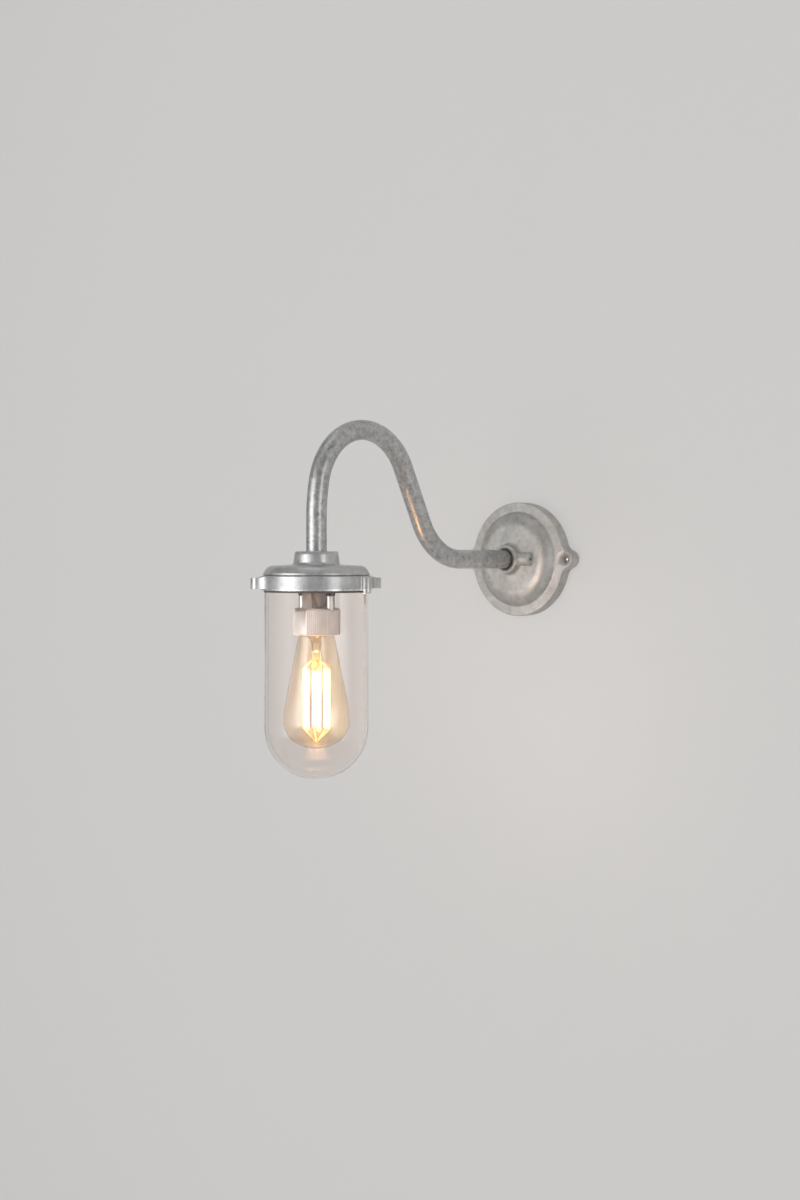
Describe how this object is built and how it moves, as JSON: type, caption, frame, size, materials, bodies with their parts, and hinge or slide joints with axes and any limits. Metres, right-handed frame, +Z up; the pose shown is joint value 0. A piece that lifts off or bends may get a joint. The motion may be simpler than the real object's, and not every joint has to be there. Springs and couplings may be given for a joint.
{
  "type": "wall light",
  "caption": "Gooseneck wall light: a cast wall rose and a swan-neck tube carry a screw-clamped well glass round a large teardrop filament bulb.",
  "frame": {"origin": "midpoint of the two wall-screw holes, on the wall's face, which is also the rose's centre", "axes": "+Z up, +Y into the wall, so the arm and lamp stand out along -Y and the lamp hangs along -Z; +X towards the set-screw boss"},
  "size_m": [0.149, 0.382, 0.3504],
  "materials": {
    "galvanised_casting": "rough zinc",
    "galvanised_tube": "hot-dip zinc",
    "clear_glass": "clear",
    "amber_glass": "clear amber",
    "stem_glass": "clear",
    "porcelain": "glazed",
    "black_rubber": "matt",
    "brass": "bright",
    "plated_steel": "zinc plated",
    "flex_sheath": "matt",
    "brown_insulation": "matt",
    "blue_insulation": "matt",
    "earth_insulation": "matt",
    "white_plastic": "satin",
    "black_vitrite": "glossy",
    "circuit_board": "satin",
    "filament_coating": "matt"
  },
  "bodies": {
    "fixture": {"wall_rose": "galvanised_casting", "rose_gasket": "black_rubber", "rose_locknut": "plated_steel", "rose_earth_screw": "brass", "terminal_block": "white_plastic", "terminal_screws": "plated_steel", "terminal_block_screw": "plated_steel", "arm_set_screw": "plated_steel", "arm_tube": "galvanised_tube", "arm_flex": "flex_sheath", "live_core": "brown_insulation", "neutral_core": "blue_insulation", "earth_core": "earth_insulation", "gallery": "galvanised_casting", "gallery_locknut": "plated_steel", "gallery_seal": "black_rubber", "gallery_earth_screw": "brass", "lampholder_body": "porcelain", "holder_screw_shell": "brass", "holder_centre_contact": "brass", "holder_terminals": "brass", "holder_pillars": "plated_steel", "pillar_bushes": "black_rubber", "holder_screws": "plated_steel"},
    "glass": {"well_glass": "clear_glass", "glass_gasket": "black_rubber", "clamp_ring": "galvanised_casting"},
    "clamp_screw_right": {"clamp_screw_right": "plated_steel"},
    "clamp_screw_left": {"clamp_screw_left": "plated_steel"},
    "bulb": {"bulb_glass": "amber_glass", "bulb_cap": "brass", "bulb_insulator": "black_vitrite", "bulb_contact": "plated_steel", "bulb_driver": "circuit_board", "bulb_stem": "stem_glass", "bulb_filaments": "filament_coating", "bulb_leads": "plated_steel"}
  },
  "joints": [
    {"name": "glass_drop", "type": "slide", "parent": "fixture", "child": "glass", "axis": [0, 0, -1], "range_m": [0, 0.19]},
    {"name": "clamp_screw_right_out", "type": "slide", "parent": "glass", "child": "clamp_screw_right", "axis": [0, 0, -1], "range_m": [0, 0.0076]},
    {"name": "clamp_screw_left_out", "type": "slide", "parent": "glass", "child": "clamp_screw_left", "axis": [0, 0, -1], "range_m": [0, 0.0076]},
    {"name": "bulb_unscrew", "type": "slide", "parent": "fixture", "child": "bulb", "axis": [0, 0, -1], "range_m": [0, 0.018]}
  ]
}
